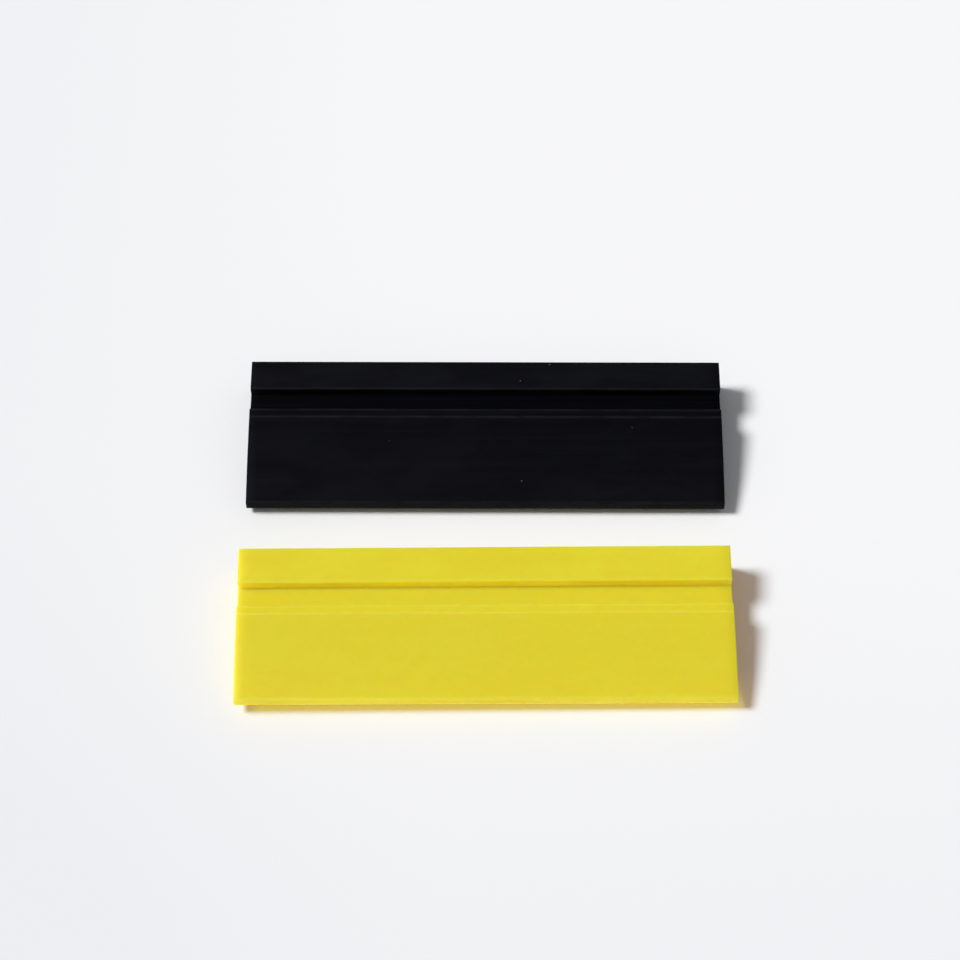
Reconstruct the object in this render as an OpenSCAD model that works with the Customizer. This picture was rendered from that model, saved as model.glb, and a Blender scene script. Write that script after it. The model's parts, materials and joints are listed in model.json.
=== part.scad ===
// Two loose squeegee blades lying side by side on a flat surface: a hard one and a soft one.
// Each blade is one length of cast strip, the same above and below its middle plane: a thick
// grip bead along the back, a groove on both sides for the lips of a handle, a shoulder with a
// narrow flat land on both sides, and a wiping lip whose faces curve together to a blunt edge.
// The lip outweighs the bead, so a loose blade lies nose down: on the lower front edge of the
// bead and on the lower face of the lip. The soft blade's lip has also taken a set, upwards.
// Frame: +X along the blades, +Y from the wiping edges to the grip beads, +Z up,
// origin on the resting surface at the middle of the pair.
// The neck between the grooves is where a blade bends. It is drawn as a round root on the lip
// in a round socket on the bead, so that the bend can be a hinge.

/* [Blade] */
// Length of each blade, from one cut end to the other
blade_length = 139.7; // [90:0.1:220]
// Depth of each blade, from its back face to its wiping edge
blade_depth = 46.8; // [40:0.1:58]
// Thickness over the grip bead
bead_thickness = 12.7; // [11:0.1:16]
// Depth of the groove on each side of the neck
groove_depth = 3.15; // [2:0.05:3.6]
// How far the shoulder lies inside the face of the bead
shoulder_drop = 0.7; // [0.4:0.05:1.2]
// Chamfer along the shoulder
shoulder_chamfer = 0.5; // [0.2:0.1:1]
// Width of the flat land in front of the shoulder
shoulder_land = 2.5; // [1:0.1:4]
// Radius of the two convex faces of the wiping lip
face_radius = 160; // [100:1:400]
// Thickness of the blunt wiping edge
edge_thickness = 3.3; // [2:0.1:4.5]

/* [Black blade] */
// Depth of the grip bead, from the back face to the groove
black_bead_depth = 10; // [7:0.1:13]
// Width of the groove between the bead and the shoulder
black_groove_width = 6.3; // [5.6:0.1:9]
// Upward set of the lip, in degrees
black_lip_set = 0; // [0:0.1:8]

/* [Yellow blade] */
// Depth of the grip bead, from the back face to the groove
yellow_bead_depth = 11; // [7:0.1:13]
// Width of the groove between the bead and the shoulder
yellow_groove_width = 7.4; // [5.6:0.1:9]
// Upward set of the lip, in degrees
yellow_lip_set = 5.2; // [0:0.1:8]
// Turn of the blade on the surface, against the black one, in degrees
yellow_turn = 0.6; // [-2:0.1:2]

/* [Laying out] */
// Clear space between the black wiping edge and the back of the yellow blade, at mid length
blade_gap = 19.7; // [6:0.1:60]

/* [Bend at the neck] */
// Wall of the socket above and below the round root
socket_wall = 0.6; // [0.4:0.1:1]
// Running clearance round the root
root_clearance = 0.05; // [0.02:0.01:0.1]
// Half of the gap between bead and lip below the root
neck_gap = 0.3; // [0.2:0.05:0.5]
// Largest upward bend that the socket leaves room for, in degrees
bend_room = 27; // [10:1:28]

/* [Hidden] */
$fn = 96;

bead_half = bead_thickness / 2;
neck_half = bead_half - groove_depth;
shoulder_half = bead_half - shoulder_drop;
edge_half = edge_thickness / 2;
root_radius = neck_half - socket_wall;
socket_radius = root_radius + root_clearance;

// Bead depth, groove width and lip set of each blade.
black_sizes = [black_bead_depth, black_groove_width, black_lip_set];
yellow_sizes = [yellow_bead_depth, yellow_groove_width, yellow_lip_set];

black_colour = [0.05, 0.05, 0.06];
yellow_colour = [0.87, 0.80, 0.18];

// The section is drawn in [x, y]: x is the depth below zero, from the back face towards the
// wiping edge, and y the height over the middle plane.
function at(depth, height) = [-depth, height];
function turned(point, angle) =
    [point.x * cos(angle) - point.y * sin(angle), point.x * sin(angle) + point.y * cos(angle)];

function shoulder_depth(sizes) = sizes[0] + sizes[1];
function land_end(sizes) = at(shoulder_depth(sizes) + shoulder_chamfer + shoulder_land, shoulder_half);
function edge_corner() = at(blade_depth, edge_half);

// The bend axis lies in the middle plane, halfway along the neck.
function neck_axis(sizes) = at(sizes[0] + sizes[1] / 2, 0);

// Centre of the circle of the upper face, which passes over the end of the land and the edge.
function face_centre(sizes) =
    let (chord = land_end(sizes) - edge_corner())
    let (up = [-chord.y, chord.x] / norm(chord))
    (land_end(sizes) + edge_corner()) / 2 - up * sqrt(face_radius * face_radius - norm(chord) * norm(chord) / 4);

// Where a point of the lip comes to with the lip's set.
function with_set(point, sizes) = neck_axis(sizes) + turned(point - neck_axis(sizes), -sizes[2]);
function below(point) = [point.x, -point.y];

// Tilt of a loose blade at rest: the line from the bead's lower front edge that touches the lip.
function rest_tilt(sizes) =
    let (pivot = at(sizes[0], -bead_half))
    let (to_land = with_set(below(land_end(sizes)), sizes) - pivot)
    let (to_centre = with_set(below(face_centre(sizes)), sizes) - pivot)
    let (reach = sqrt(max(0, norm(to_centre) * norm(to_centre) - face_radius * face_radius)))
    reach > norm(to_land)
        ? atan2(to_centre.y, -to_centre.x) - atan2(face_radius, reach)
        : atan2(to_land.y, -to_land.x);

// Where a point of the section comes to in the rest pose, with the lowest point at height 0.
function at_rest(point, sizes) =
    let (pivot = at(sizes[0], -bead_half))
    turned(point, rest_tilt(sizes)) - [0, turned(pivot, rest_tilt(sizes)).y];

// Rearmost and foremost place of a blade in the rest pose.
function rear(sizes) = at_rest(at(0, -bead_half), sizes).x;
function fore(sizes) = at_rest(with_set(edge_corner(), sizes), sizes).x;
function fore_below(sizes) = at_rest(with_set(below(edge_corner()), sizes), sizes).x;
function footprint(sizes) = rear(sizes) - min(fore(sizes), fore_below(sizes));

// Extra footprint of the yellow blade, because it is turned.
turn_room = blade_length / 2 * abs(sin(yellow_turn)) - footprint(yellow_sizes) / 2 * (1 - cos(yellow_turn));
set_depth = footprint(black_sizes) + blade_gap + footprint(yellow_sizes) + turn_room;
black_back_y = set_depth / 2;
yellow_back_y = black_back_y - footprint(black_sizes) - blade_gap;

// Runs a section along the whole blade.
module along_blade() {
    rotate([90, 0, 90])
        linear_extrude(height = blade_length, center = true)
            children();
}

// Lays a blade down in its rest pose, with its back at a place along Y.
module lay_down(sizes, back_y, turn = 0) {
    middle_y = back_y - footprint(sizes) / 2;
    translate([0, middle_y, 0])
        rotate([0, 0, turn])
            translate([0, back_y - middle_y - rear(sizes), at_rest([0, 0], sizes).y])
                rotate([rest_tilt(sizes), 0, 0])
                    children();
}

// Turns a lip about the bend axis by its set.
module set_lip(sizes) {
    translate([0, neck_axis(sizes).x, 0])
        rotate([-sizes[2], 0, 0])
            translate([0, -neck_axis(sizes).x, 0])
                children();
}

// Bead, with the back of the neck and the socket for the lip's root.
module bead_section(sizes) {
    bead_depth = sizes[0];
    axis_depth = -neck_axis(sizes).x;
    setback = neck_half * sin(bend_room + sizes[2]) + neck_gap;
    difference() {
        union() {
            polygon([
                at(0, -bead_half),
                at(bead_depth, -bead_half),
                at(bead_depth, bead_half),
                at(0, bead_half)
            ]);
            polygon([
                at(bead_depth / 2, -neck_half),
                at(axis_depth - neck_gap, -neck_half),
                at(axis_depth - neck_gap, 0),
                at(axis_depth - setback, neck_half),
                at(bead_depth / 2, neck_half)
            ]);
        }
        translate(neck_axis(sizes))
            circle(r = socket_radius);
    }
}

// Lip, with its round root, front of the neck, shoulders, curved faces and blunt edge.
module lip_section(sizes) {
    axis_depth = -neck_axis(sizes).x;
    shoulder = shoulder_depth(sizes);
    land_start = shoulder + shoulder_chamfer;
    land_stop = -land_end(sizes).x;
    union() {
        translate(neck_axis(sizes))
            circle(r = root_radius);
        polygon([
            at(axis_depth + neck_gap, -neck_half),
            at(axis_depth + neck_gap, neck_half),
            at(shoulder, neck_half),
            at(shoulder, shoulder_half - shoulder_chamfer),
            at(land_start, shoulder_half),
            at(land_stop, shoulder_half),
            at(land_stop, -shoulder_half),
            at(land_start, -shoulder_half),
            at(shoulder, shoulder_chamfer - shoulder_half),
            at(shoulder, -neck_half)
        ]);
        intersection() {
            polygon([
                at(land_stop, -shoulder_half),
                at(land_stop, shoulder_half),
                at(blade_depth, shoulder_half),
                at(blade_depth, -shoulder_half)
            ]);
            translate(face_centre(sizes))
                circle(r = face_radius, $fn = 360);
            translate(below(face_centre(sizes)))
                circle(r = face_radius, $fn = 360);
        }
    }
}

module black_grip_bead() {
    color(black_colour)
        lay_down(black_sizes, black_back_y)
            along_blade() bead_section(black_sizes);
}

module black_wiping_lip() {
    color(black_colour)
        lay_down(black_sizes, black_back_y)
            set_lip(black_sizes)
                along_blade() lip_section(black_sizes);
}

module yellow_grip_bead() {
    color(yellow_colour)
        lay_down(yellow_sizes, yellow_back_y, yellow_turn)
            along_blade() bead_section(yellow_sizes);
}

module yellow_wiping_lip() {
    color(yellow_colour)
        lay_down(yellow_sizes, yellow_back_y, yellow_turn)
            set_lip(yellow_sizes)
                along_blade() lip_section(yellow_sizes);
}

black_grip_bead();
black_wiping_lip();
yellow_grip_bead();
yellow_wiping_lip();
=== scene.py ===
import json
import math

import bmesh
import bpy
from bpy.props import FloatProperty, FloatVectorProperty, PointerProperty
from mathutils import Euler, Matrix, Vector


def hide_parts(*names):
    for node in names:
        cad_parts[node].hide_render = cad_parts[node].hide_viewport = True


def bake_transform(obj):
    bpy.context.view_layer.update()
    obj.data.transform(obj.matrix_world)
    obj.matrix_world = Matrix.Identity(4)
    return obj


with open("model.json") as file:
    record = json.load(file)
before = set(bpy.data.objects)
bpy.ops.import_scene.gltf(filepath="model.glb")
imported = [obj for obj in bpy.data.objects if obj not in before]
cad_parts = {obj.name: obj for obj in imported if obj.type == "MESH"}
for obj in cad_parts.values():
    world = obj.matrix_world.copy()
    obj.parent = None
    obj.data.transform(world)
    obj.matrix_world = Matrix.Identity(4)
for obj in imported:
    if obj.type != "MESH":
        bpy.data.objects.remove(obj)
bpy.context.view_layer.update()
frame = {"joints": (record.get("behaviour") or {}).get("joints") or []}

bl_info = {
    "name": "Squeegee blade set",
    "version": (1, 0, 0),
    "blender": (4, 5, 0),
    "location": "View3D > Sidebar > Blades",
    "description": "Models a hard black and a soft yellow squeegee blade over the packed frame",
    "category": "Object",
}

MM = 0.001
ON_PLANE = 1e-6  # points this near a plane lie on it
NEAR = 2e-5  # how near a picked corner has to be
FACE_STEPS = 16  # steps over the curved face of the lip
NECK_STEPS = 7  # steps over the groove, where a blade bends
LENGTH_STEPS = 48  # steps along a blade
SMOOTH_UNDER = math.radians(32)  # edges that turn less than this are shaded smooth
FLOOR_DROP = 0.02 * MM  # keeps the floor just clear of the blades
CAST_IOR = 1.45
SUBSURFACE_RADIUS = (1.0, 0.72, 0.05)  # red light wanders farthest, then green, and hardly any blue
SUBSURFACE_SCALE = 5 * MM
THIN_LIP = 14 * MM  # over this depth from the wiping edge the shadow goes from thin to thick
DUST_COLOUR = (0.3, 0.3, 0.28, 1)
BLACK = (0, 0, 0, 1)


# ---------------------------------------------------------------- sizes and colours


def length(name, description, millimetres):
    """A length that a user can change, given in millimetres."""
    return FloatProperty(
        name=name, description=description, default=millimetres * MM, min=0.0, precision=5, unit="LENGTH"
    )


def share(name, description, value):
    """A number from 0 to 1 that a user can change."""
    return FloatProperty(
        name=name, description=description, default=value, min=0.0, max=1.0, subtype="FACTOR"
    )


def turn(name, description, degrees):
    """An angle that a user can change, given in degrees."""
    return FloatProperty(
        name=name, description=description, default=math.radians(degrees), subtype="ANGLE", unit="ROTATION"
    )


def colour(name, description, value):
    """A colour that a user can change, in linear light."""
    return FloatVectorProperty(
        name=name, description=description, default=value, size=3, min=0.0, max=1.0, subtype="COLOR"
    )


class SectionSettings(bpy.types.PropertyGroup):
    """Sizes that both blades share. The section is the same above and below its middle plane."""

    blade_length: length("Blade length", "Length of each blade, from one cut end to the other", 139.7)
    blade_depth: length("Blade depth", "Depth of each blade, from its back face to its wiping edge", 46.8)
    bead_thickness: length("Bead thickness", "Thickness over the grip bead", 12.7)
    groove_depth: length("Groove depth", "Depth of the groove on each side of the neck", 3.15)
    shoulder_drop: length("Shoulder drop", "How far the shoulder lies inside the face of the bead", 0.7)
    shoulder_chamfer: length("Shoulder chamfer", "Width of the broken edge along the shoulder", 0.5)
    shoulder_land: length("Shoulder land", "Width of the flat land in front of the shoulder", 2.5)
    face_radius: length("Face radius", "Radius of the two convex faces of the wiping lip", 160)
    edge_thickness: length("Edge thickness", "Thickness of the blunt wiping edge", 3.3)
    bead_round: length("Bead edge round", "Rounding of the bead's edges", 0.45)
    groove_round: length("Groove corner round", "Rounding in the bottom corners of the groove", 0.55)
    edge_round: length("Wiping edge round", "Rounding where a face meets the blunt wiping edge", 0.45)
    land_line_rise: length("Land line rise", "Height of the thin raised line along the end of the land", 0.05)
    land_line_width: length("Land line width", "Width of the thin raised line along the end of the land", 0.7)
    cut_edge_round: length("Cut edge round", "Rounding round the two cut ends", 0.12)


class BlackBladeSettings(bpy.types.PropertyGroup):
    """Sizes and colours of the hard black blade."""

    bead_depth: length("Bead depth", "Depth of the grip bead, from the back face to the groove", 10.0)
    groove_width: length("Groove width", "Width of the groove between the bead and the shoulder", 6.3)
    lip_set: turn("Lip set", "Upward set of the lip at rest", 0.0)
    lip_twist: turn("Lip twist", "How far the left end of the lip is turned up against the right end", 0.0)
    blade_turn: turn("Turn", "Turn of the blade on the surface", 0.0)
    body: colour("Body", "Colour of the cast surface", (0.0003, 0.0003, 0.0015))
    deep: colour("Mottle", "Colour of the darker patches in the casting", (0.0001, 0.0001, 0.0007))
    streak: colour("Streaks", "Colour of the lengthwise streaks", (0.0046, 0.0048, 0.0075))
    # painted light: lighter on the bead and towards the wiping edge; the groove keeps the darker body colour
    # as painted shade
    painted_lit: colour("Painted lit", "Colour on the bead and towards the wiping edge", (0.0046, 0.0048, 0.0075))
    # painted light on the faces that stand upright
    painted_wall_light: colour("Painted wall light", "Colour of the faces that stand upright", (0.0046, 0.0048, 0.0075))
    # painted glow: emission on the walls that face the wiping edge
    painted_glow: colour("Painted glow", "Light that leaves by the walls that face the wiping edge", (0.0, 0.0, 0.0))
    # lighter edges: partly rubbed wear, partly painted highlight where the edges catch light
    rub_and_highlight: colour("Rubbed and highlit edges", "Colour of the edges where they are rubbed", (0.0160, 0.0164, 0.0195))
    cut: colour("Cut ends", "Colour of the knife-cut ends", (0.0050, 0.0050, 0.0066))
    roughness: share("Roughness", "Roughness of the cast surface", 0.58)
    gloss: share("Gloss", "Strength of the surface's mirror-like light", 0.045)
    patch_share: share("Mottle share", "How strongly the mottle shows", 0.4)
    streak_share: share("Streak share", "How strongly the lengthwise streaks show", 0.3)


class YellowBladeSettings(bpy.types.PropertyGroup):
    """Sizes and colours of the soft yellow blade."""

    bead_depth: length("Bead depth", "Depth of the grip bead, from the back face to the groove", 11.0)
    groove_width: length("Groove width", "Width of the groove between the bead and the shoulder", 7.4)
    lip_set: turn("Lip set", "Upward set of the lip at rest", 5.2)
    lip_twist: turn("Lip twist", "How far the left end of the lip is turned up against the right end", 1.6)
    blade_turn: turn("Turn", "Turn of the blade on the surface", 0.6)
    body: colour("Body", "Colour of the cast surface", (0.705, 0.624, 0.031))
    deep: colour("Mottle", "Colour of the deeper patches in the casting", (0.750, 0.628, 0.022))
    streak: colour("Streaks", "Colour of the lengthwise streaks", (0.780, 0.678, 0.045))
    # painted light: lighter on the bead and towards the wiping edge; the groove keeps the darker body colour
    # as painted shade
    painted_lit: colour("Painted lit", "Colour on the bead and towards the wiping edge", (0.768, 0.682, 0.033))
    # painted light on the faces that stand upright
    painted_wall_light: colour("Painted wall light", "Colour of the faces that stand upright", (0.900, 0.780, 0.050))
    # painted glow: emission on the walls that face the wiping edge
    painted_glow: colour("Painted glow", "Light that leaves by the walls that face the wiping edge", (0.150, 0.130, 0.004))
    # lighter edges: partly rubbed wear, partly painted highlight where the edges catch light
    rub_and_highlight: colour("Rubbed and highlit edges", "Colour of the edges where they are rubbed", (0.805, 0.715, 0.090))
    cut: colour("Cut ends", "Colour of the knife-cut ends", (0.400, 0.330, 0.015))
    roughness: share("Roughness", "Roughness of the cast surface", 0.44)
    gloss: share("Gloss", "Strength of the surface's mirror-like light", 0.22)
    patch_share: share("Mottle share", "How strongly the mottle shows", 0.6)
    streak_share: share("Streak share", "How strongly the lengthwise streaks show", 0.15)
    translucency: share("Translucency", "Share of the light that wanders through the blade", 0.9)
    thin_shadow: colour("Thin shadow", "Lamp light let through where the lip is thinnest", (0.74, 0.63, 0.03))
    thick_shadow: colour("Thick shadow", "Lamp light let through where it is thick", (0.38, 0.22, 0.01))


class StageSettings(bpy.types.PropertyGroup):
    """Floor and lights."""

    floor: colour("Floor", "Colour of the floor", (0.912, 0.916, 0.936))
    # painted shade on the floor towards the near left
    painted_floor_shade: colour("Painted floor shade", "Colour of the floor to the near left", (0.835, 0.841, 0.868))
    key_strength: FloatProperty(
        name="Key strength", description="Strength of the soft key light from the left", default=3.08, min=0.0
    )
    key_height: FloatProperty(
        name="Key height", description="Height of the key light above the floor", default=math.radians(51.8),
        subtype="ANGLE", unit="ROTATION",
    )
    key_width: FloatProperty(
        name="Key width", description="Width of the key light as seen from the blades",
        default=math.radians(18), subtype="ANGLE", unit="ROTATION",
    )
    sky_strength: FloatProperty(
        name="Sky strength", description="Strength of the even light from all round", default=0.26, min=0.0
    )
    camera_height: turn("Camera height", "How far the camera looks down", 54)
    camera_roll: turn("Camera roll", "How far the camera is rolled to the left", 0.115)
    camera_place: FloatVectorProperty(
        name="Camera place", description="Where the camera stands", default=(-0.001555, -0.43938, 0.63583),
        size=3, subtype="TRANSLATION", unit="LENGTH", precision=5,
    )
    camera_lens: FloatProperty(
        name="Camera lens", description="Focal length of the camera in millimetres", default=99.64, min=1.0
    )


# ---------------------------------------------------------------- section of a blade


class Section:
    """The section of a blade and how the loose blade lies.

    Depth runs from the back face to the wiping edge, and height up from the middle plane. A blade is
    modelled with its bend axis, which runs along the middle of its neck, on the X axis.
    """

    def __init__(self, joint_name, shared, own):
        self.joint = Vector(next(j for j in frame["joints"] if j["name"] == joint_name)["pos_m"])
        self.left, self.right = -shared.blade_length / 2, shared.blade_length / 2
        self.depth = shared.blade_depth
        self.bead_half = shared.bead_thickness / 2
        self.neck_half = self.bead_half - shared.groove_depth
        self.shoulder_half = self.bead_half - shared.shoulder_drop
        self.edge_half = shared.edge_thickness / 2
        self.bead_depth = own.bead_depth
        self.axis_depth = own.bead_depth + own.groove_width / 2
        self.shoulder_depth = own.bead_depth + own.groove_width
        self.land_end = self.shoulder_depth + shared.shoulder_chamfer + shared.shoulder_land
        first = Vector((self.land_end, self.shoulder_half))
        last = Vector((self.depth, self.edge_half))
        chord = last - first
        up = Vector((-chord.y, chord.x)).normalized()
        self.face_radius = shared.face_radius
        self.face_centre = (first + last) / 2 - up * math.sqrt(self.face_radius**2 - chord.length_squared / 4)
        self.lip_set, self.lip_twist, self.blade_turn = own.lip_set, own.lip_twist, own.blade_turn
        self.tilt = self.rest_tilt()

    def y(self, depth):
        return self.axis_depth - depth

    def with_set(self, depth, height):
        """Where a point of the lip comes to with the lip's set, as depth and height."""
        out, cos, sin = depth - self.axis_depth, math.cos(self.lip_set), math.sin(self.lip_set)
        return Vector((self.axis_depth + out * cos - height * sin, out * sin + height * cos))

    def rest_tilt(self):
        """The lip outweighs the bead, so a loose blade lies on the bead's lower front edge and on the lip."""
        pivot = Vector((self.bead_depth, -self.bead_half))
        to_land = self.with_set(self.land_end, -self.shoulder_half) - pivot
        to_centre = self.with_set(self.face_centre.x, -self.face_centre.y) - pivot
        reach = math.sqrt(max(0.0, to_centre.length_squared - self.face_radius**2))
        if reach > to_land.length:
            return math.atan2(to_centre.y, to_centre.x) - math.atan2(self.face_radius, reach)
        return math.atan2(to_land.y, to_land.x)

    def face_height(self, depth):
        """Height of the convex face of the lip at a depth."""
        across = depth - self.face_centre.x
        return self.face_centre.y + math.sqrt(self.face_radius**2 - across**2)

    def face_stations(self, count):
        """Depths of even steps over the face of the lip, without its two ends."""
        step = (self.depth - self.land_end) / count
        return [self.land_end + step * i for i in range(1, count)]

    def neck_stations(self):
        """Depths of the close steps over the groove, where the blade bends, clear of its walls."""
        width = self.shoulder_depth - self.bead_depth
        return [self.bead_depth + width * (i + 0.5) / NECK_STEPS for i in range(NECK_STEPS)]


# ---------------------------------------------------------------- modelling by hand


def only(piece):
    """Leaves one object selected and active."""
    bpy.ops.object.select_all(action="DESELECT")
    piece.select_set(True)
    bpy.context.view_layer.objects.active = piece


def middle(part):
    """Middle of a vertex, an edge or a face."""
    if isinstance(part, bmesh.types.BMVert):
        return part.co
    if isinstance(part, bmesh.types.BMEdge):
        return (part.verts[0].co + part.verts[1].co) / 2
    return part.calc_center_median()


def pick(piece, kind, wanted):
    """In edit mode, selects the vertices, edges or faces that pass a test, and nothing else."""
    bpy.ops.mesh.select_mode(type=kind)
    bpy.ops.mesh.select_all(action="DESELECT")
    mesh = bmesh.from_edit_mesh(piece.data)
    parts = {"VERT": mesh.verts, "EDGE": mesh.edges, "FACE": mesh.faces}[kind]
    found = [part for part in parts if wanted(part)]
    if not found:
        raise RuntimeError(f"nothing to pick on {piece.name}")
    for part in found:
        part.select_set(True)
    mesh.select_flush_mode()
    bmesh.update_edit_mesh(piece.data)


def slice_here(place, normal):
    """Cuts the selected faces along a plane."""
    bpy.ops.mesh.bisect(plane_co=place, plane_no=normal, threshold=ON_PLANE)


def slice_across(s, depth):
    """Cuts the whole section from top to bottom at a depth."""
    bpy.ops.mesh.select_all(action="SELECT")
    slice_here((s.left, s.y(depth), 0), (0, 1, 0))


def pick_corner(piece, s, depth, height):
    """Selects the point of the section at a depth and a height."""
    place = Vector((s.left, s.y(depth), height))
    pick(piece, "VERT", lambda v: (v.co - place).length < NEAR)


def round_corner(piece, s, depth, height, size, segments):
    """Rounds one corner of the flat section."""
    pick_corner(piece, s, depth, height)
    bpy.ops.mesh.bevel(offset=size, offset_type="OFFSET", segments=segments, profile=0.5, affect="VERTICES")


def move_corner(piece, s, depth, height, up):
    """Moves one point of the section up or down."""
    pick_corner(piece, s, depth, height)
    bpy.ops.transform.translate(value=(0, 0, up))


def draw_section(name, s, shared):
    """Cuts the section of a blade out of an upright plane at the blade's left end, as one flat face."""
    top, half_line = s.bead_half, shared.land_line_width / 2
    bpy.ops.object.select_all(action="DESELECT")
    bpy.ops.mesh.primitive_plane_add(
        size=1, location=(s.left, s.y(s.depth / 2), top / 2), rotation=(0, math.radians(90), 0)
    )
    piece = bpy.context.object
    piece.name = piece.data.name = name
    piece.scale = (top, s.depth, 1)
    bpy.ops.object.transform_apply(location=True, rotation=True, scale=True)
    bpy.ops.object.mode_set(mode="EDIT")

    line_depths = [s.land_end - half_line, s.land_end, s.land_end + half_line]
    face_depths = [d for d in s.face_stations(FACE_STEPS) if d > line_depths[2] + 0.3 * MM]
    for depth in [s.bead_depth, s.shoulder_depth] + line_depths + face_depths:
        slice_across(s, depth)

    def in_groove(face):
        return s.y(s.shoulder_depth) < middle(face).y < s.y(s.bead_depth)

    pick(piece, "FACE", in_groove)
    slice_here((s.left, 0, s.neck_half), (0, 0, 1))
    pick(piece, "FACE", lambda f: in_groove(f) and middle(f).z > s.neck_half)
    bpy.ops.mesh.delete(type="FACE")

    for depth in [s.shoulder_depth, line_depths[0]]:
        move_corner(piece, s, depth, top, s.shoulder_half - top)
    move_corner(piece, s, s.land_end, top, s.shoulder_half + shared.land_line_rise - top)
    for depth in line_depths[2:] + face_depths:
        move_corner(piece, s, depth, top, s.face_height(depth) - top)
    move_corner(piece, s, s.depth, top, s.edge_half - top)
    bpy.ops.mesh.select_mode(type="FACE")
    bpy.ops.mesh.select_all(action="SELECT")
    bpy.ops.mesh.dissolve_faces()

    round_corner(piece, s, 0, top, shared.bead_round, 4)
    round_corner(piece, s, s.bead_depth, top, shared.bead_round * 0.8, 4)
    round_corner(piece, s, s.bead_depth, s.neck_half, shared.groove_round, 4)
    round_corner(piece, s, s.shoulder_depth, s.neck_half, shared.groove_round, 4)
    round_corner(piece, s, s.shoulder_depth, s.shoulder_half, shared.shoulder_chamfer, 4)
    round_corner(piece, s, s.land_end, s.shoulder_half + shared.land_line_rise, half_line * 0.5, 3)
    round_corner(piece, s, s.depth, s.edge_half, shared.edge_round, 4)
    bpy.ops.object.mode_set(mode="OBJECT")

    other_half = piece.modifiers.new("Other half", "MIRROR")
    other_half.use_axis = (False, False, True)
    other_half.merge_threshold = NEAR
    bpy.ops.object.modifier_apply(modifier=other_half.name)
    bpy.ops.object.mode_set(mode="EDIT")
    bpy.ops.mesh.select_mode(type="FACE")
    bpy.ops.mesh.select_all(action="SELECT")
    bpy.ops.mesh.normals_make_consistent(inside=False)
    bpy.ops.mesh.dissolve_faces()

    beyond = [s.shoulder_depth + 0.95 * MM * i for i in range(1, 3)]
    for depth in [2.5 * MM, 5 * MM, 7.5 * MM] + s.neck_stations() + beyond + face_depths:
        slice_across(s, depth)
    return piece


def set_lip(piece, s):
    """Turns the lip of the flat section up by its set, in four small bends between the neck's steps."""
    if not s.lip_set:
        return
    step = (s.shoulder_depth - s.bead_depth) / NECK_STEPS
    for bend in (1.5, 0.5, -0.5, -1.5):
        here = s.y(s.axis_depth + bend * step)
        pick(piece, "VERT", lambda v: v.co.y < here)
        bpy.ops.transform.rotate(
            value=s.lip_set / 4, orient_axis="X", orient_type="GLOBAL", center_override=(s.left, here, 0)
        )


def sweep_section(piece, s, steps):
    """Draws the flat section out into the whole length of the blade, in even steps."""
    pick(piece, "FACE", lambda f: True)
    for _ in range(steps):
        bpy.ops.mesh.extrude_region_move(TRANSFORM_OT_translate={"value": ((s.right - s.left) / steps, 0, 0)})
    bpy.ops.mesh.select_all(action="SELECT")
    bpy.ops.mesh.normals_make_consistent(inside=False)
    bpy.ops.object.mode_set(mode="OBJECT")


def twist_lip(piece, s):
    """Twists the lip a little about the bend axis, more and more over the neck."""
    if not s.lip_twist:
        return
    lip = piece.vertex_groups.new(name="lip")
    for point in piece.data.vertices:
        out = (s.y(s.bead_depth) - point.co.y) / (s.shoulder_depth - s.bead_depth)
        lip.add([point.index], min(max(out, 0.0), 1.0), "REPLACE")
    twist = piece.modifiers.new("Lip twist", "SIMPLE_DEFORM")
    twist.deform_method, twist.deform_axis, twist.angle = "TWIST", "X", s.lip_twist
    twist.vertex_group = lip.name
    only(piece)
    bpy.ops.object.modifier_apply(modifier=twist.name)
    piece.vertex_groups.clear()


def lay_down(piece, s):
    """Lays a blade in its rest pose, with its bend axis where the joint is."""
    piece.location = s.joint
    piece.rotation_euler = (s.tilt, 0, s.blade_turn)
    only(piece)
    bpy.ops.object.transform_apply(location=True, rotation=True, scale=True)


def at_cut_end(s, part):
    """True where an edge or a face lies in one of the two cut ends."""
    return all(min(abs(v.co.x - s.left), abs(v.co.x - s.right)) < ON_PLANE * 5 for v in part.verts)


def ease_cut_ends(piece, s, size):
    """Rounds the outline of both cut ends a little."""
    only(piece)
    bpy.ops.object.mode_set(mode="EDIT")

    def on_outline(edge):
        ends = [at_cut_end(s, face) for face in edge.link_faces]
        return at_cut_end(s, edge) and any(ends) and not all(ends)

    pick(piece, "EDGE", on_outline)
    bpy.ops.mesh.bevel(offset=size, offset_type="OFFSET", segments=2, profile=0.5, affect="EDGES")
    bpy.ops.object.mode_set(mode="OBJECT")


def dress(piece, s, body, cut):
    """Gives a blade its cast finish, and its cut ends the knife-cut one."""
    piece.data.materials.clear()
    piece.data.materials.append(body)
    piece.data.materials.append(cut)
    only(piece)
    bpy.ops.object.mode_set(mode="EDIT")
    pick(piece, "FACE", lambda f: at_cut_end(s, f))
    piece.active_material_index = 1
    bpy.ops.object.material_slot_assign()
    bpy.ops.object.mode_set(mode="OBJECT")
    bpy.ops.object.shade_smooth_by_angle(angle=SMOOTH_UNDER)


def keep_rest_place(piece):
    """Stores where every point lies at rest, so that the finish stays on the blade as it bends."""
    place = piece.data.attributes.new("rest_place", "FLOAT_VECTOR", "POINT")
    for value, point in zip(place.data, piece.data.vertices):
        value.vector = point.co


def build_blade(name, s, shared, body, cut):
    """One blade, from its section to its finish, laid down at rest."""
    piece = draw_section(name, s, shared)
    set_lip(piece, s)
    sweep_section(piece, s, LENGTH_STEPS)
    ease_cut_ends(piece, s, shared.cut_edge_round)
    dress(piece, s, body, cut)
    keep_rest_place(piece)
    twist_lip(piece, s)
    lay_down(piece, s)
    return piece


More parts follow.
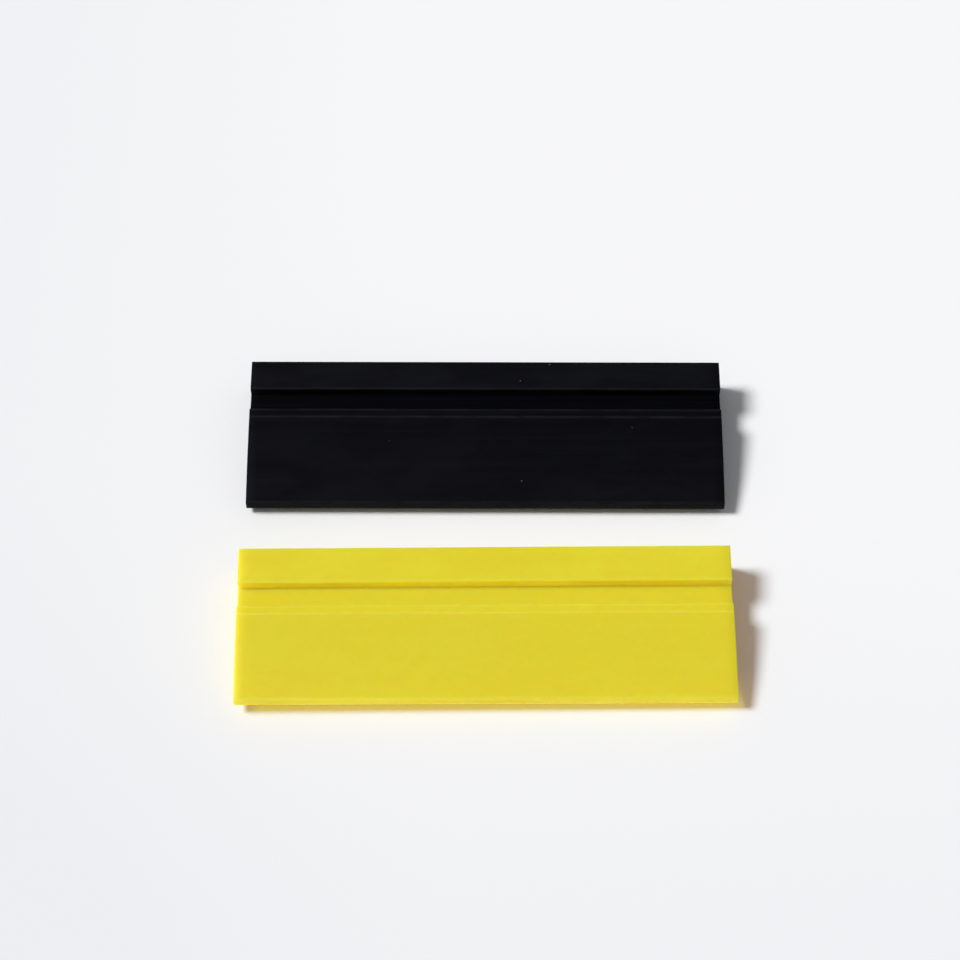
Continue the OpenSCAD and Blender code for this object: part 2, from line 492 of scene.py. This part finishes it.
# ---------------------------------------------------------------- finishes


def feed(tree, socket, value):
    """Joins a socket to another one, or sets it to a plain value."""
    if isinstance(value, bpy.types.NodeSocket):
        tree.links.new(value, socket)
    else:
        socket.default_value = value


def number(tree, operation, *values, clamp=False):
    node = tree.nodes.new("ShaderNodeMath")
    node.operation, node.use_clamp = operation, clamp
    for socket, value in zip(node.inputs, values):
        feed(tree, socket, value)
    return node.outputs[0]


def vector(tree, operation, *values):
    node = tree.nodes.new("ShaderNodeVectorMath")
    node.operation = operation
    for socket, value in zip(node.inputs, values):
        feed(tree, socket, value)
    return node.outputs["Value" if operation in {"LENGTH", "DISTANCE"} else "Vector"]


def blend_colours(tree, share_of_second, first, second):
    node = tree.nodes.new("ShaderNodeMix")
    node.data_type = "RGBA"
    feed(tree, node.inputs[0], share_of_second)
    feed(tree, node.inputs[6], first)
    feed(tree, node.inputs[7], second)
    return node.outputs[2]


def stretch(tree, value, low, high, to_low=0.0, to_high=1.0):
    """Spreads the values between low and high smoothly over another range."""
    node = tree.nodes.new("ShaderNodeMapRange")
    node.interpolation_type = "SMOOTHSTEP"
    for socket, number_in in zip(node.inputs, (value, low, high, to_low, to_high)):
        feed(tree, socket, number_in)
    return node.outputs[0]


def noise(tree, place, detail=2.0, roughness=0.5, distortion=0.0):
    node = tree.nodes.new("ShaderNodeTexNoise")
    feed(tree, node.inputs["Vector"], place)
    node.inputs["Scale"].default_value = 1.0
    node.inputs["Detail"].default_value = detail
    node.inputs["Roughness"].default_value = roughness
    node.inputs["Distortion"].default_value = distortion
    return node.outputs[0]


def new_group(name, inputs, outputs):
    """A shader node group with its sockets. Returns its tree, its input node and its output node."""
    tree = bpy.data.node_groups.new(name, "ShaderNodeTree")
    for label, kind, value in inputs:
        socket = tree.interface.new_socket(name=label, in_out="INPUT", socket_type=f"NodeSocket{kind}")
        if value is not None:
            socket.default_value = value
    for label in outputs:
        tree.interface.new_socket(name=label, in_out="OUTPUT", socket_type="NodeSocketFloat")
    return tree, tree.nodes.new("NodeGroupInput"), tree.nodes.new("NodeGroupOutput")


def casting_streaks():
    """Long thin streaks along X, from the casting."""
    tree, given, made = new_group(
        "Casting Streaks",
        [("Place", "Vector", None), ("Streak Length", "Float", 0.08), ("Streak Width", "Float", 0.001)],
        ["Mask", "Height"],
    )
    size = tree.nodes.new("ShaderNodeCombineXYZ")
    feed(tree, size.inputs[0], given.outputs["Streak Length"])
    feed(tree, size.inputs[1], given.outputs["Streak Width"])
    feed(tree, size.inputs[2], given.outputs["Streak Width"])
    streaks = noise(tree, vector(tree, "DIVIDE", given.outputs["Place"], size.outputs[0]), 3.0, 0.6)
    feed(tree, made.inputs["Mask"], stretch(tree, streaks, 0.42, 0.72))
    feed(tree, made.inputs["Height"], streaks)
    return tree


def cast_mottle():
    """Soft cloudy patches in the cast colour."""
    tree, given, made = new_group(
        "Cast Mottle", [("Place", "Vector", None), ("Patch Size", "Float", 0.01)], ["Mask"]
    )
    size = tree.nodes.new("ShaderNodeCombineXYZ")
    feed(tree, size.inputs[0], number(tree, "MULTIPLY", given.outputs["Patch Size"], 2.4))
    feed(tree, size.inputs[1], given.outputs["Patch Size"])
    feed(tree, size.inputs[2], given.outputs["Patch Size"])
    patches = noise(tree, vector(tree, "DIVIDE", given.outputs["Place"], size.outputs[0]), 4.0, 0.55, 0.4)
    feed(tree, made.inputs["Mask"], stretch(tree, patches, 0.34, 0.66))
    return tree


def dust_specks():
    """A few tiny specks of dust, far apart."""
    tree, given, made = new_group(
        "Dust Specks",
        [("Place", "Vector", None), ("Spacing", "Float", 0.006), ("Speck Size", "Float", 0.0003)],
        ["Mask"],
    )
    cells = tree.nodes.new("ShaderNodeTexVoronoi")
    cells.inputs["Scale"].default_value = 1.0
    spread = number(tree, "DIVIDE", 1.0, given.outputs["Spacing"])
    scaled = tree.nodes.new("ShaderNodeVectorMath")
    scaled.operation = "SCALE"
    feed(tree, scaled.inputs[0], given.outputs["Place"])
    feed(tree, scaled.inputs["Scale"], spread)
    feed(tree, cells.inputs["Vector"], scaled.outputs[0])
    chance = tree.nodes.new("ShaderNodeSeparateColor")
    feed(tree, chance.inputs[0], cells.outputs["Color"])
    reach = number(tree, "MULTIPLY", given.outputs["Speck Size"], spread)
    reach = number(tree, "MULTIPLY", reach, chance.outputs[1])
    inside = number(tree, "LESS_THAN", cells.outputs["Distance"], reach)
    kept = number(tree, "GREATER_THAN", chance.outputs[0], 0.45)
    feed(tree, made.inputs["Mask"], number(tree, "MULTIPLY", inside, kept))
    return tree


def edge_rub_and_highlight():
    """A narrow lighter band along one long edge, broken up along its length: partly rubbed wear, partly
    painted highlight.
    """
    tree, given, made = new_group(
        "Edge Rub And Highlight",
        [("Place", "Vector", None), ("Edge", "Vector", None), ("Reach", "Float", 0.0006)],
        ["Mask"],
    )
    away = vector(tree, "SUBTRACT", given.outputs["Place"], given.outputs["Edge"])
    away = vector(tree, "LENGTH", vector(tree, "MULTIPLY", away, (0, 1, 1)))
    band = number(tree, "SUBTRACT", 1.0, number(tree, "DIVIDE", away, given.outputs["Reach"]), clamp=True)
    worn = noise(tree, vector(tree, "MULTIPLY", given.outputs["Place"], (140, 500, 500)), 3.0, 0.6)
    feed(tree, made.inputs["Mask"], number(tree, "MULTIPLY", band, stretch(tree, worn, 0.3, 0.62, 0.35, 1.0)))
    return tree


def knife_strokes():
    """Fine slanted marks that a knife leaves on a cut end."""
    tree, given, made = new_group(
        "Knife Strokes", [("Place", "Vector", None), ("Spacing", "Float", 0.0005)], ["Mask", "Height"]
    )
    turn = tree.nodes.new("ShaderNodeVectorRotate")
    turn.rotation_type = "X_AXIS"
    feed(tree, turn.inputs["Vector"], given.outputs["Place"])
    turn.inputs["Angle"].default_value = math.radians(14)
    size = tree.nodes.new("ShaderNodeCombineXYZ")
    feed(tree, size.inputs[0], given.outputs["Spacing"])
    feed(tree, size.inputs[1], given.outputs["Spacing"])
    feed(tree, size.inputs[2], number(tree, "MULTIPLY", given.outputs["Spacing"], 22.0))
    strokes = noise(tree, vector(tree, "DIVIDE", turn.outputs[0], size.outputs[0]), 3.0, 0.65)
    feed(tree, made.inputs["Mask"], stretch(tree, strokes, 0.4, 0.7))
    feed(tree, made.inputs["Height"], strokes)
    return tree


def painted_lit_zones():
    """Painted light: the whole bead, half of the lip and more towards the wiping edge are made lighter, which
    leaves painted shade in the groove.
    """
    tree, given, made = new_group(
        "Painted Lit Zones",
        [("Place", "Vector", None), ("Bead Front", "Float", 0.003), ("Shoulder", "Float", -0.003),
         ("Land End", "Float", -0.006), ("Wiping Edge", "Float", -0.034)],
        ["Mask"],
    )
    across = tree.nodes.new("ShaderNodeSeparateXYZ")
    feed(tree, across.inputs[0], given.outputs["Place"])
    across, shoulder = across.outputs["Y"], given.outputs["Shoulder"]
    on_bead = number(tree, "GREATER_THAN", across, given.outputs["Bead Front"])
    before = number(tree, "ADD", shoulder, 0.5 * MM)
    after = number(tree, "SUBTRACT", shoulder, 0.5 * MM)
    on_lip = stretch(tree, across, before, after, 0.0, 0.5)
    to_edge = stretch(tree, across, given.outputs["Land End"], given.outputs["Wiping Edge"], 0.0, 0.32)
    painted_lit = number(tree, "ADD", number(tree, "ADD", on_bead, on_lip), to_edge, clamp=True)
    feed(tree, made.inputs["Mask"], painted_lit)
    return tree


def upright_faces():
    """Which faces stand upright, and which of those look towards the wiping edge, as masks for painted light
    on upright walls and a painted glow.
    """
    tree, _, made = new_group("Upright Faces", [], ["Mask", "Front"])
    facing = tree.nodes.new("ShaderNodeNewGeometry")
    axes = tree.nodes.new("ShaderNodeSeparateXYZ")
    feed(tree, axes.inputs[0], facing.outputs["True Normal"])
    feed(tree, made.inputs["Mask"], stretch(tree, number(tree, "ABSOLUTE", axes.outputs["Z"]), 0.9, 0.3))
    feed(tree, made.inputs["Front"], stretch(tree, axes.outputs["Y"], -0.5, -0.95))
    return tree


GROUPS = {
    "Painted Lit Zones": painted_lit_zones,
    "Upright Faces": upright_faces,
    "Casting Streaks": casting_streaks,
    "Cast Mottle": cast_mottle,
    "Dust Specks": dust_specks,
    "Edge Rub And Highlight": edge_rub_and_highlight,
    "Knife Strokes": knife_strokes,
}


def effect(tree, name, **values):
    """Places one of the shared effects in a material, with its own values."""
    node = tree.nodes.new("ShaderNodeGroup")
    node.node_tree = bpy.data.node_groups.get(name) or GROUPS[name]()
    for label, value in values.items():
        feed(tree, node.inputs[label.replace("_", " ")], value)
    return node


def new_finish(name):
    """An empty material. Returns it, its tree, its shader and the rest place."""
    finish = bpy.data.materials.new(name)
    finish.use_nodes = True
    tree = finish.node_tree
    tree.nodes.clear()
    shader = tree.nodes.new("ShaderNodeBsdfPrincipled")
    out = tree.nodes.new("ShaderNodeOutputMaterial")
    tree.links.new(shader.outputs[0], out.inputs["Surface"])
    place = tree.nodes.new("ShaderNodeAttribute")
    place.attribute_name = "rest_place"
    return finish, tree, shader, place.outputs["Vector"]


def opaque(rgb):
    return (*rgb, 1.0)


def cast_finish(name, s, shared, own):
    """Cast polyurethane: mottled and streaked lengthwise, with a little dust, and with painted light: lighter
    on the bead and lip with painted shade left in the groove, lighter upright walls, a painted glow on the
    walls that face the wiping edge, and lighter edges that are partly rubbed wear and partly painted
    highlight.
    """
    finish, tree, shader, place = new_finish(name)
    mottle = effect(tree, "Cast Mottle", Place=place, Patch_Size=0.009)
    streaks = effect(tree, "Casting Streaks", Place=place, Streak_Length=0.07, Streak_Width=0.0011)
    fine = effect(tree, "Casting Streaks", Place=place, Streak_Length=0.02, Streak_Width=0.00028)
    dust = effect(tree, "Dust Specks", Place=place, Spacing=0.0065, Speck_Size=0.00026)
    edges = [
        (Vector((0, s.bead_half)), 0.9 * MM),
        (Vector((s.bead_depth, s.bead_half)), 0.8 * MM),
        (s.with_set(s.shoulder_depth + shared.shoulder_chamfer / 2, s.shoulder_half), 0.9 * MM),
        (s.with_set(s.land_end, s.shoulder_half), 0.6 * MM),
        (s.with_set(s.depth, s.edge_half), 0.9 * MM),
        (s.with_set(s.depth, -s.edge_half), 0.9 * MM),
    ]
    # lighter bands along the long edges: partly rubbed wear, partly painted highlight
    rubbed_and_highlit = 0.0
    for edge, reach in edges:
        band = effect(tree, "Edge Rub And Highlight", Place=place, Edge=(0, s.y(edge.x), edge.y), Reach=reach)
        rubbed_and_highlit = number(tree, "MAXIMUM", rubbed_and_highlit, band.outputs["Mask"])
    # painted light and shade: bead and lip lighter, groove left darker
    painted_lit = effect(
        tree, "Painted Lit Zones", Place=place, Bead_Front=s.y(s.bead_depth), Shoulder=s.y(s.shoulder_depth),
        Land_End=s.y(s.land_end), Wiping_Edge=s.y(s.depth),
    )
    base = blend_colours(tree, painted_lit.outputs["Mask"], opaque(own.body), opaque(own.painted_lit))
    # painted light: upright faces get a lighter colour
    upright = effect(tree, "Upright Faces")
    base = blend_colours(tree, upright.outputs["Mask"], base, opaque(own.painted_wall_light))
    # painted glow: the walls that face the wiping edge emit light
    painted_glow = blend_colours(tree, upright.outputs["Front"], BLACK, opaque(own.painted_glow))
    feed(tree, shader.inputs["Emission Color"], painted_glow)
    shader.inputs["Emission Strength"].default_value = 1.0
    patches = number(tree, "MULTIPLY", mottle.outputs["Mask"], own.patch_share)
    base = blend_colours(tree, patches, base, opaque(own.deep))
    lines = number(tree, "MULTIPLY", streaks.outputs["Mask"], own.streak_share)
    base = blend_colours(tree, lines, base, opaque(own.streak))
    base = blend_colours(tree, number(tree, "MULTIPLY", rubbed_and_highlit, 0.7), base, opaque(own.rub_and_highlight))
    base = blend_colours(tree, number(tree, "MULTIPLY", dust.outputs["Mask"], 0.25), base, DUST_COLOUR)
    feed(tree, shader.inputs["Base Color"], base)
    rough = number(tree, "MULTIPLY_ADD", mottle.outputs["Mask"], 0.08, own.roughness - 0.04)
    rough = number(tree, "MULTIPLY_ADD", fine.outputs["Mask"], 0.07, rough)
    rough = number(tree, "MULTIPLY_ADD", rubbed_and_highlit, -0.06, rough, clamp=True)
    feed(tree, shader.inputs["Roughness"], rough)
    height = number(tree, "MULTIPLY", fine.outputs["Height"], 0.25)
    height = number(tree, "MULTIPLY_ADD", streaks.outputs["Height"], 0.6, height)
    bump = tree.nodes.new("ShaderNodeBump")
    bump.inputs["Strength"].default_value = 1.0
    bump.inputs["Distance"].default_value = 0.00005
    feed(tree, bump.inputs["Height"], height)
    feed(tree, shader.inputs["Normal"], bump.outputs[0])
    shader.inputs["IOR"].default_value = CAST_IOR
    shader.inputs["Specular IOR Level"].default_value = own.gloss
    return finish, shader


def cut_finish(name, own):
    """The same polyurethane where a knife went through it: duller, with fine slanted strokes."""
    finish, tree, shader, place = new_finish(name)
    strokes = effect(tree, "Knife Strokes", Place=place, Spacing=0.0005)
    mottle = effect(tree, "Cast Mottle", Place=place, Patch_Size=0.004)
    patches = number(tree, "MULTIPLY", mottle.outputs["Mask"], 0.5)
    base = blend_colours(tree, patches, opaque(own.cut), opaque(own.body))
    marks = number(tree, "MULTIPLY", strokes.outputs["Mask"], 0.35)
    base = blend_colours(tree, marks, base, opaque(own.streak))
    feed(tree, shader.inputs["Base Color"], base)
    rough = number(tree, "MULTIPLY_ADD", strokes.outputs["Mask"], 0.12, own.roughness + 0.08, clamp=True)
    feed(tree, shader.inputs["Roughness"], rough)
    bump = tree.nodes.new("ShaderNodeBump")
    bump.inputs["Strength"].default_value = 1.0
    bump.inputs["Distance"].default_value = 0.00006
    feed(tree, bump.inputs["Height"], strokes.outputs["Height"])
    feed(tree, shader.inputs["Normal"], bump.outputs[0])
    shader.inputs["IOR"].default_value = CAST_IOR
    shader.inputs["Specular IOR Level"].default_value = own.gloss
    return finish


def let_light_through(shader, weight):
    """Lets light wander through the blade."""
    shader.inputs["Subsurface Weight"].default_value = weight
    shader.inputs["Subsurface Radius"].default_value = SUBSURFACE_RADIUS
    shader.inputs["Subsurface Scale"].default_value = SUBSURFACE_SCALE


def shadow_by_depth(finish, s, own):
    """Colour of the lamp light that a face lets through: more and less red where the lip is thin."""
    tree = finish.node_tree
    place = next(n for n in tree.nodes if n.type == "ATTRIBUTE")
    across = tree.nodes.new("ShaderNodeSeparateXYZ")
    feed(tree, across.inputs[0], place.outputs["Vector"])
    from_edge = number(tree, "SUBTRACT", across.outputs["Y"], s.y(s.depth))
    thick = number(tree, "DIVIDE", from_edge, THIN_LIP, clamp=True)
    return blend_colours(tree, thick, opaque(own.thin_shadow), opaque(own.thick_shadow))


def tint_shadow(finish, shade):
    """Lets a share of the lamp light through the faces that wear this finish."""
    tree = finish.node_tree
    shader = next(n for n in tree.nodes if n.type == "BSDF_PRINCIPLED")
    out = next(n for n in tree.nodes if n.type == "OUTPUT_MATERIAL")
    lamp = tree.nodes.new("ShaderNodeLightPath")
    through = tree.nodes.new("ShaderNodeBsdfTransparent")
    feed(tree, through.inputs["Color"], shade)
    either = tree.nodes.new("ShaderNodeMixShader")
    tree.links.new(lamp.outputs["Is Shadow Ray"], either.inputs[0])
    tree.links.new(shader.outputs[0], either.inputs[1])
    tree.links.new(through.outputs[0], either.inputs[2])
    tree.links.new(either.outputs[0], out.inputs["Surface"])


# ---------------------------------------------------------------- operators


class BLADES_OT_black_blade(bpy.types.Operator):
    """Models the hard black blade"""

    bl_idname = "blades.black_blade"
    bl_label = "Black blade"
    bl_options = {"REGISTER", "UNDO"}

    def execute(self, context):
        shared, own = context.scene.blade_section, context.scene.black_blade
        s = Section("black_lip_bend", shared, own)
        body, _ = cast_finish("black_cast", s, shared, own)
        cut = cut_finish("black_cut", own)
        piece = build_blade("black_blade", s, shared, body, cut)
        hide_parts("black_grip_bead", "black_wiping_lip")
        bend_blade(piece)
        return {"FINISHED"}


class BLADES_OT_yellow_blade(bpy.types.Operator):
    """Models the soft yellow blade"""

    bl_idname = "blades.yellow_blade"
    bl_label = "Yellow blade"
    bl_options = {"REGISTER", "UNDO"}

    def execute(self, context):
        shared, own = context.scene.blade_section, context.scene.yellow_blade
        s = Section("yellow_lip_bend", shared, own)
        body, body_shader = cast_finish("yellow_cast", s, shared, own)
        cut = cut_finish("yellow_cut", own)
        let_light_through(body_shader, own.translucency)
        tint_shadow(body, shadow_by_depth(body, s, own))
        tint_shadow(cut, opaque(own.thick_shadow))
        piece = build_blade("yellow_blade", s, shared, body, cut)
        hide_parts("yellow_grip_bead", "yellow_wiping_lip")
        bend_blade(piece)
        return {"FINISHED"}


def bend_blade(piece):
    """Bakes the blade's placement into its mesh."""
    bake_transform(piece)


class BLADES_OT_stage(bpy.types.Operator):
    """Lays the floor and sets the lights and the camera"""

    bl_idname = "blades.stage"
    bl_label = "Stage"
    bl_options = {"REGISTER", "UNDO"}

    def execute(self, context):
        scene, look = context.scene, context.scene.blade_stage
        bpy.ops.object.select_all(action="DESELECT")
        bpy.ops.mesh.primitive_plane_add(size=8, location=(0, 0, -FLOOR_DROP))
        floor = context.object
        floor.name = "floor"
        floor.data.materials.append(floor_finish(look))

        key_tilt = look.key_height - math.pi / 2
        bpy.ops.object.light_add(type="SUN", location=(-1, 0, 1.3), rotation=(0, key_tilt, 0))
        key = context.object
        key.name = "key_light"
        key.data.energy = look.key_strength
        key.data.angle = look.key_width
        key.data.color = (1.0, 0.995, 0.985)

        world = bpy.data.worlds.new("soft_surround")
        world.use_nodes = True
        scene.world = world
        tree = world.node_tree
        tree.nodes.clear()
        even = tree.nodes.new("ShaderNodeBackground")
        even.inputs["Color"].default_value = (0.97, 0.98, 1.0, 1)
        even.inputs["Strength"].default_value = look.sky_strength
        pale = tree.nodes.new("ShaderNodeBackground")
        pale.inputs["Color"].default_value = (0.90, 0.90, 0.91, 1)
        seen = tree.nodes.new("ShaderNodeLightPath")
        either = tree.nodes.new("ShaderNodeMixShader")
        out = tree.nodes.new("ShaderNodeOutputWorld")
        tree.links.new(seen.outputs["Is Camera Ray"], either.inputs[0])
        tree.links.new(even.outputs[0], either.inputs[1])
        tree.links.new(pale.outputs[0], either.inputs[2])
        tree.links.new(either.outputs[0], out.inputs["Surface"])

        lean = Matrix.Rotation(math.pi / 2 - look.camera_height, 3, "X")
        aim = lean @ Matrix.Rotation(look.camera_roll, 3, "Z")
        bpy.ops.object.camera_add(location=look.camera_place, rotation=aim.to_euler())
        camera = context.object
        camera.name = "camera"
        camera.data.sensor_width = 36
        camera.data.lens = look.camera_lens
        camera.data.clip_start = 0.01
        camera.data.clip_end = 30
        scene.camera = camera
        scene.view_settings.view_transform = "Standard"
        return {"FINISHED"}


def floor_finish(look):
    """Matt white paper, with painted shade that makes it a touch darker towards the near left."""
    finish = bpy.data.materials.new("floor_paper")
    finish.use_nodes = True
    tree = finish.node_tree
    shader = tree.nodes["Principled BSDF"]
    where = tree.nodes.new("ShaderNodeTexCoord")
    grain = noise(tree, vector(tree, "MULTIPLY", where.outputs["Object"], (900, 900, 900)), 2.0)
    across = tree.nodes.new("ShaderNodeSeparateXYZ")
    feed(tree, across.inputs[0], where.outputs["Object"])
    left = stretch(tree, across.outputs["X"], 0.0, -0.17)
    near = stretch(tree, across.outputs["Y"], 0.04, -0.16)
    # painted shade: the floor darkens towards the near left
    falloff = number(tree, "ADD", number(tree, "MULTIPLY", left, 0.6), number(tree, "MULTIPLY", near, 0.66))
    shade = number(tree, "ADD", falloff, number(tree, "MULTIPLY", grain, 0.08))
    colour_out = blend_colours(tree, shade, opaque(look.floor), opaque(look.painted_floor_shade))
    feed(tree, shader.inputs["Base Color"], colour_out)
    shader.inputs["Roughness"].default_value = 0.9
    shader.inputs["Specular IOR Level"].default_value = 0.1
    return finish


class BLADES_PT_sidebar(bpy.types.Panel):
    """Sizes, colours and steps of the blade set"""

    bl_label = "Squeegee blades"
    bl_idname = "BLADES_PT_sidebar"
    bl_space_type = "VIEW_3D"
    bl_region_type = "UI"
    bl_category = "Blades"

    def draw(self, context):
        for settings, operator in (
            ("blade_section", None),
            ("black_blade", "blades.black_blade"),
            ("yellow_blade", "blades.yellow_blade"),
            ("blade_stage", "blades.stage"),
        ):
            group = getattr(context.scene, settings)
            box = self.layout.box()
            for name in group.__annotations__:
                box.prop(group, name)
            if operator:
                box.operator(operator)


CLASSES = (
    SectionSettings,
    BlackBladeSettings,
    YellowBladeSettings,
    StageSettings,
    BLADES_OT_black_blade,
    BLADES_OT_yellow_blade,
    BLADES_OT_stage,
    BLADES_PT_sidebar,
)


def register():
    for cls in CLASSES:
        bpy.utils.register_class(cls)
    bpy.types.Scene.blade_section = PointerProperty(type=SectionSettings)
    bpy.types.Scene.black_blade = PointerProperty(type=BlackBladeSettings)
    bpy.types.Scene.yellow_blade = PointerProperty(type=YellowBladeSettings)
    bpy.types.Scene.blade_stage = PointerProperty(type=StageSettings)


def unregister():
    for name in ("blade_section", "black_blade", "yellow_blade", "blade_stage"):
        delattr(bpy.types.Scene, name)
    for cls in reversed(CLASSES):
        bpy.utils.unregister_class(cls)


def main():
    register()
    bpy.ops.blades.black_blade()
    bpy.ops.blades.yellow_blade()
    bpy.ops.blades.stage()


if __name__ == "__main__":
    main()
